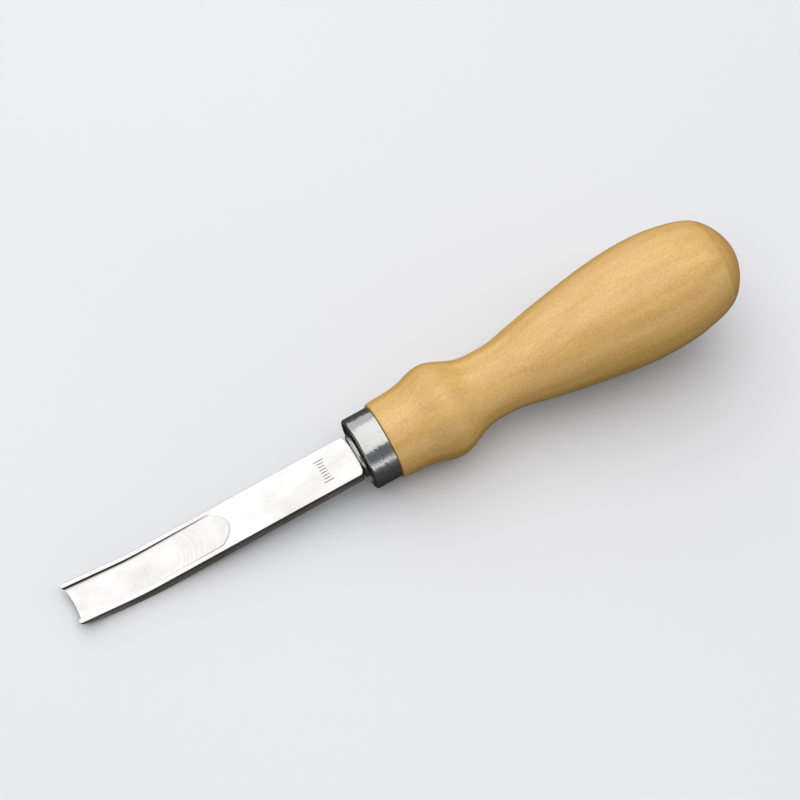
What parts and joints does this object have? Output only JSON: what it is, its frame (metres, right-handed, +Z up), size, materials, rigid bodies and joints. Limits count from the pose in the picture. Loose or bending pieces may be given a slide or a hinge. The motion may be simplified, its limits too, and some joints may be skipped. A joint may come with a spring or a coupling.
{
  "type": "edge skiving gouge",
  "caption": "Leather edge gouge: flat steel bar with a shallow ground channel and side rails, in a turned pear-shaped wooden handle with a ferrule.",
  "frame": {"origin": "on the surface the tool lies on, under the middle of its bounding box", "axes": "+X towards the butt of the handle, -X towards the cutting edge, +Z up; the tool rests on the bar's underside near the bend and on the handle's front bulge, so its own axis rises about 7.6 degrees towards the butt"},
  "size_m": [0.157, 0.0262, 0.0307],
  "materials": {
    "blade_steel": "polished",
    "washer_steel": "satin",
    "ferrule_steel": "gloss",
    "handle_wood": "satin",
    "epoxy": "gloss"
  },
  "bodies": {
    "root": {"blade": "blade_steel", "bolster_washer": "washer_steel", "ferrule": "ferrule_steel", "handle": "handle_wood", "tang_adhesive": "epoxy"}
  },
  "joints": []
}
